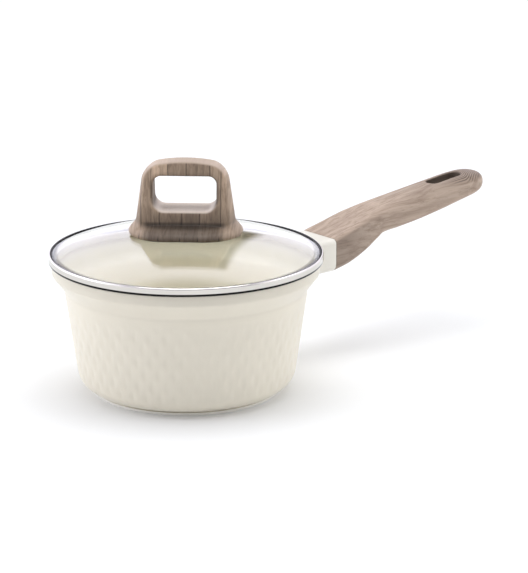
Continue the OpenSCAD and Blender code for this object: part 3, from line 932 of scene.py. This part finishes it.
def loop_field(x, y, z):
    """The upright loop: bulging sides, crowned top, and faces that lean in towards the top."""
    rise = np.clip(z - LOOP_BASE, 0, 60)
    depth = LOOP_DEPTH - 0.0816 * rise - 0.001535 * rise**2
    taper = np.clip((z - DOME_Z - 4) / LOOP_H, 0, 1.2)
    half = LOOP_FOOT_W + (LOOP_TOP_W - LOOP_FOOT_W) * taper
    side = np.abs(x) - half + (3.4 - 1.7 * taper) * np.minimum((y / depth) ** 2, 2)
    top = z - KNOB_TOP - CROWN_RISE + x**2 / 180
    outline = round_max(side, top, 8)
    solid = round_max(outline, (np.abs(y) - depth) * 0.98, 1.2)
    mid, half_h = (OPEN_LOW + OPEN_HIGH) / 2, (OPEN_HIGH - OPEN_LOW) / 2
    r = np.where(z > mid, OPEN_TOP_R, OPEN_FOOT_R)
    dx, dz = np.abs(x) - OPEN_L / 2 + r, np.abs(z - mid) - half_h + r
    opening = np.hypot(np.maximum(dx, 0), np.maximum(dz, 0)) + np.minimum(np.maximum(dx, dz), 0) - r
    return round_max(solid, -opening + 0 * y, 1.7 + 1.5 * blend_step(z, OPEN_LOW + 1, OPEN_LOW + 9))


def flange_field(x, y, z):
    """The oval foot: domed on top, widest a little above the glass."""
    plan = np.hypot(np.maximum(np.abs(x) - (FLANGE_L - FLANGE_D) / 2, 0), y) - FLANGE_D / 2
    inward = np.clip(-plan / 15, 0, 1)
    top = DOME_Z + 1.2 + 4.3 * (1 - (1 - inward) ** 2)
    edge = plan + 0.11 * np.maximum(DOME_Z + 0.8 - z, 0) ** 2
    return round_max(edge, z - top, 2.4)


def knob_field(x, y, z):
    """Loop and flange, hollowed below to sit on the glass, with the gasket's pocket and the insert's bore."""
    fillet = 0.6 + 3.4 * blend_step(np.abs(x), 21, 29)
    solid = round_min(loop_field(x, y, z), flange_field(x, y, z), fillet)
    radius = np.sqrt(x**2 + y**2)
    under_glass = DOME_R + 0.05 - np.sqrt(radius**2 + (z - DOME_C) ** 2)
    solid = round_max(solid, under_glass, 0.5)
    pocket = np.maximum(radius - GASKET_POCKET_R, z - DOME_Z - 1)
    bore = np.maximum(radius - KNOB_BORE_R, z - DOME_Z - 10.5)
    return np.maximum(solid, -np.minimum(pocket, bore))


def make_knob(material):
    low = (-FLANGE_L / 2 - 2, -FLANGE_D / 2 - 2, DOME_Z - 6)
    high = (FLANGE_L / 2 + 2, FLANGE_D / 2 + 2, KNOB_TOP + 2)
    points, faces = net(knob_field, low, high, KNOB_CELL)
    c, s = math.cos(LID_TURN), math.sin(LID_TURN)
    points = points @ np.array([[c, s, 0], [-s, c, 0], [0, 0, 1]])
    knob = make_object("knob_grip_moulded", points, faces, 50)
    finish_piece(knob, "lid", material, "knob_grip")


# ---- CAD nodes that stay ----


def dress(node, material):
    """Gives a CAD node its looks. Its mesh stays as it is."""
    cover(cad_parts[node], material)
    smooth(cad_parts[node], 30)


# ---- Stage, in metres ----

AIM_TURN = math.radians(-40)
AIM_RISE = math.radians(16.05)
DISTANCE = 1.7
LENS = 170.3
TARGET_RIGHT = 0.0487
TARGET_UP = 0.0655
LAMP_AIM = Vector((0, 0, 0.06))
FLOOR_HALF = 60
FLOOR_DROP = 0.0001


def from_camera_frame(right, back, up):
    """A point given to the camera's right, towards it and up, in metres, from the pan's axis on the floor."""
    side = Vector((math.cos(AIM_TURN), math.sin(AIM_TURN), 0))
    toward = Vector((math.sin(AIM_TURN), -math.cos(AIM_TURN), 0))
    return side * right + toward * back + Vector((0, 0, up))


def make_camera():
    camera = bpy.data.objects.new("camera", bpy.data.cameras.new("camera"))
    bpy.context.scene.collection.objects.link(camera)
    camera.data.lens = LENS
    camera.data.sensor_width = 36
    camera.data.clip_start = 0.01
    camera.data.clip_end = 200
    target = from_camera_frame(TARGET_RIGHT, 0, TARGET_UP)
    back = from_camera_frame(0, math.cos(AIM_RISE), math.sin(AIM_RISE))
    camera.location = target + back * DISTANCE
    camera.rotation_euler = back.to_track_quat("Z", "Y").to_euler()
    bpy.context.scene.camera = camera


def make_floor():
    """A wide floor, just below the pan so that the two faces don't fight."""
    half, z = FLOOR_HALF / MM, -FLOOR_DROP / MM
    corners = [(-half, -half, z), (half, -half, z), (half, half, z), (-half, half, z)]
    floor = make_object("floor", corners, [(0, 1, 2, 3)])
    floor.data.materials.append(pale_floor())


def softbox(name, right, back, up, width, height, watts, shape="RECTANGLE", colour=(1, 1, 1)):
    """An area lamp aimed at the pan, placed as from_camera_frame says."""
    data = bpy.data.lights.new(name, "AREA")
    data.shape = shape
    data.size = width
    data.size_y = height
    data.energy = watts
    data.color = colour
    lamp = bpy.data.objects.new(name, data)
    bpy.context.scene.collection.objects.link(lamp)
    lamp.location = from_camera_frame(right, back, up)
    lamp.rotation_euler = (lamp.location - LAMP_AIM).to_track_quat("Z", "Y").to_euler()
    lamp.visible_camera = False


def make_world():
    """White backdrop. What it sends to the part is brightest behind and at the left."""
    world = bpy.data.worlds.new("studio")
    world.use_nodes = True
    bpy.context.scene.world = world
    world.node_tree.nodes.clear()
    s = Nodes(world.node_tree)

    way = s.node("ShaderNodeTexCoord").outputs["Generated"]
    toward = tuple(from_camera_frame(0, 1, 0))
    side = tuple(from_camera_frame(1, 0, 0))
    front = s.node("ShaderNodeVectorMath", {0: way, 1: toward}, operation="DOT_PRODUCT").outputs["Value"]
    right = s.node("ShaderNodeVectorMath", {0: way, 1: side}, operation="DOT_PRODUCT").outputs["Value"]
    up = s.node("ShaderNodeSeparateXYZ", {0: way}).outputs[2]
    sides = s.math("ADD", s.spread(right, -0.95, -0.2, 0.7, 0.0), s.spread(right, 0.2, 0.95, 0.0, 0.5))
    back = s.product(s.spread(front, -0.35, 0.25, 0.98, 0.15), s.spread(up, 0.66, 0.78, 1.0, 0.25))
    lit = s.math("ADD", back, sides)
    # What gloss and glass mirror: a white wall behind with a narrow flag straight back, and a paler front
    flag = s.product(
        s.spread(s.math("ABSOLUTE", right), 0.08, 0.105, 0.95, 0.0),
        s.spread(up, 0.68, 0.71, 1.0, 0.0),
        s.spread(up, 0.17, 0.23, 0.0, 1.0),
        s.spread(front, -0.6, -0.4, 1.0, 0.0),
    )
    lamps = s.product(s.spread(up, 0.45, 0.62, 1.4, 2.2), s.spread(up, 0.73, 0.82, 1.0, 0.28))
    wall = s.spread(front, -0.35, 0.25, lamps, 0.65)
    wall = s.math("ADD", wall, s.spread(right, -0.9, -0.1, 0.6, 0.0))
    mirrored = s.product(wall, s.math("SUBTRACT", 1.0, flag))
    ray = s.node("ShaderNodeLightPath").outputs
    level = s.blend(ray["Is Camera Ray"], s.blend(ray["Is Glossy Ray"], lit, mirrored), 1.0)
    tint = s.mix(ray["Is Glossy Ray"], (1, 1, 1), (0.97, 0.95, 1.08))
    sky = s.node("ShaderNodeBackground", {"Color": tint, "Strength": level})
    out = s.node("ShaderNodeOutputWorld")
    s.tree.links.new(sky.outputs[0], out.inputs[0])


def make_lights():
    softbox("overhead", 0.08, 0.0, 1.6, 1.35, 1.35, 15, "ELLIPSE")
    softbox("left_key", -1.5, 0.3, 0.9, 0.8, 1.2, 4.6, colour=(0.97, 0.98, 1.1))
    softbox("right_fill", 1.5, 0.3, 0.9, 0.8, 1.2, 2.5)


# ---- Build ----

make_pan(ceramic("pan_coating", (0.865, 0.81, 0.69), 0.34, 0.03, flare_shade=0.94))
make_collar(ceramic("collar_paint", (0.86, 0.83, 0.755), 0.34, 0.02, flare_shade=1.0))
make_grip(handle_wood())
make_glass(clear_glass())
steel = turned_steel("polished_steel", (0.68, 0.655, 0.635), 0.09)
make_band(turned_steel("polished_steel_band", (0.7, 0.675, 0.63), 0.09, dark_edges=True))
make_knob(knob_wood())

zinc = plated("zinc_steel", (0.66, 0.67, 0.69), 0.32)
silicone = soft_silicone("silicone", (0.85, 0.84, 0.8))
for name in (
    "lug_thread_insert",
    "handle_bolt",
    "bolt_spring_washer",
    "bolt_washer",
    "knob_spring_washer",
    "knob_screw",
):
    dress(name, zinc)
for name in ("steam_vent_eyelet", "vent_washer", "dished_washer"):
    dress(name, steel)
for name in ("knob_gasket", "inner_gasket"):
    dress(name, silicone)
dress("band_sealant", soft_silicone("sealant", (0.05, 0.052, 0.05)))
dress("knob_insert", plated("brass_insert", (0.78, 0.6, 0.3), 0.3))
dress("induction_plate", turned_steel("induction_steel", (0.6, 0.6, 0.61), 0.3, 0.5, 0.02))

make_floor()
make_lights()
make_world()
make_camera()
bpy.context.scene.view_settings.view_transform = "Standard"

bpy.context.view_layer.update()
